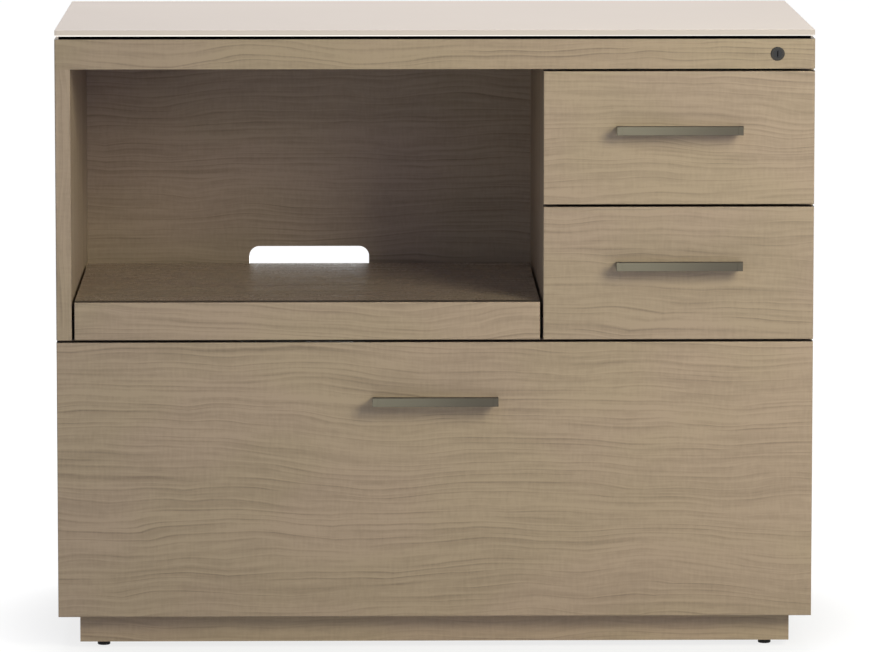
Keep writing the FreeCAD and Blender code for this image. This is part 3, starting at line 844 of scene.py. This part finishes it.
front_middle = (0.0, -0.24, 0.40)
lamps = {
    "key": (front_middle, 35.0, 24.2, 2.2, 0.8, 31.4, (1.0, 0.965, 0.752)),
    "left fill": (front_middle, -35.0, 5.0, 3.0, 1.8, 7.2, (0.940, 0.910, 1.0)),
    "right fill": (front_middle, 30.0, 5.0, 3.0, 1.8, 8.6, (0.650, 0.600, 1.0)),
    "high fill": (front_middle, -20.0, 35.0, 3.0, 1.8, 7.6, (0.431, 0.634, 1.0)),
    "top light": ((0.0, 0.1, 0.75), 180.0, 62.0, 2.5, 1.8, 34.0, white[:3]),
    "back light": ((0.0, 0.27, 0.24), 180.0, 0.0, 2.6, 0.3, 20.0, white[:3]),
}
surround_strength = 0.11
surround_tint = (0.95, 0.98, 1.14, 1.0)

# Floor: greys where it is seen and where it only reflects light, and the glow where it is
# seen, which grows between two distances from one strength to another; the dimmer glow near
# the object is painted shade round its base

floor_radius = 40.0
floor_seen = (0.20, 0.20, 0.20, 1.0)
floor_lit = (0.78, 0.78, 0.78, 1.0)
near_glow_painted_shade = (0.44, 0.60, 0.80, 0.95)
far_glow = (1.0, 4.0, 0.0, 0.05)


def softbox(name, aim, turn, rise, distance, size, power, colour):
    """A soft square lamp that faces a point, set by its turn and rise as seen from there."""
    turn, rise = math.radians(turn), math.radians(rise)
    away = Vector((math.sin(turn) * math.cos(rise), -math.cos(turn) * math.cos(rise),
                   math.sin(rise)))
    lamp = bpy.data.lights.new(name, "AREA")
    lamp.shape = "SQUARE"
    lamp.size = size
    lamp.energy = power
    lamp.color = colour
    holder = bpy.data.objects.new(name, lamp)
    bpy.context.collection.objects.link(holder)
    holder.location = Vector(aim) + away * distance
    holder.rotation_euler = (-away).to_track_quat("-Z", "Y").to_euler()


def seen_directly(tree):
    """One for what the camera sees straight on, mirrored or through glass, and zero else."""
    path = add(tree, "LightPath").outputs
    glossy = calc(tree, "MAXIMUM", path["Is Glossy Ray"], path["Is Transmission Ray"])
    return calc(tree, "MAXIMUM", path["Is Camera Ray"], glossy)


def studio_floor():
    """A pale floor that looks white and keeps the object's shadow, with painted shade round
    the object's base.
    """
    bpy.ops.mesh.primitive_circle_add(vertices=96, radius=floor_radius, fill_type="NGON")
    floor = bpy.context.object
    floor.name = "floor"
    material = bpy.data.materials.new("pale floor")
    material.use_nodes = True
    tree = material.node_tree
    tree.nodes.clear()
    place = add(tree, "TexCoord").outputs["Object"]
    far = add(tree, "VectorMath", {0: place}, operation="LENGTH").outputs["Value"]
    # Dimmer glow near the object: painted shade round its base
    glow = calc(tree, "ADD", ramp(tree, far, *near_glow_painted_shade), ramp(tree, far, *far_glow))
    shown = add(tree, "AddShader", {
        0: add(tree, "BsdfDiffuse", {"Color": floor_seen}).outputs[0],
        1: add(tree, "Emission", {"Strength": glow}).outputs[0]})
    lit = add(tree, "BsdfDiffuse", {"Color": floor_lit})
    mixed = add(tree, "MixShader", {0: seen_directly(tree), 1: lit.outputs[0],
                                    2: shown.outputs[0]})
    add(tree, "OutputMaterial", {"Surface": mixed.outputs[0]})
    floor.data.materials.append(material)
    floor.select_set(False)


def studio_world():
    """An even dim surround, which looks white where it is seen."""
    world = bpy.data.worlds.new("studio")
    bpy.context.scene.world = world
    world.use_nodes = True
    tree = world.node_tree
    tree.nodes.clear()
    around = add(tree, "Background", {"Color": surround_tint, "Strength": surround_strength})
    seen = add(tree, "Background", {"Color": white, "Strength": 1.0})
    mixed = add(tree, "MixShader", {0: seen_directly(tree), 1: around.outputs[0],
                                    2: seen.outputs[0]})
    add(tree, "OutputWorld", {"Surface": mixed.outputs[0]})


def studio_camera():
    """The photograph's viewing angle."""
    lens = bpy.data.cameras.new("camera")
    lens.sensor_width = sensor_width
    lens.lens = focal_pixels / photo_width * sensor_width
    lens.clip_end = camera_reach
    camera = bpy.data.objects.new("camera", lens)
    bpy.context.collection.objects.link(camera)
    camera.location = camera_place
    camera.rotation_euler = (quarter - camera_pitch, 0.0, -camera_yaw)
    bpy.context.scene.camera = camera
    bpy.context.scene.view_settings.view_transform = "Standard"


studio_camera()
studio_floor()
studio_world()
for lamp_name, settings in lamps.items():
    softbox(lamp_name, *settings)

dress_case()
dress_drawers()
small_pieces()

bpy.ops.object.select_all(action="DESELECT")
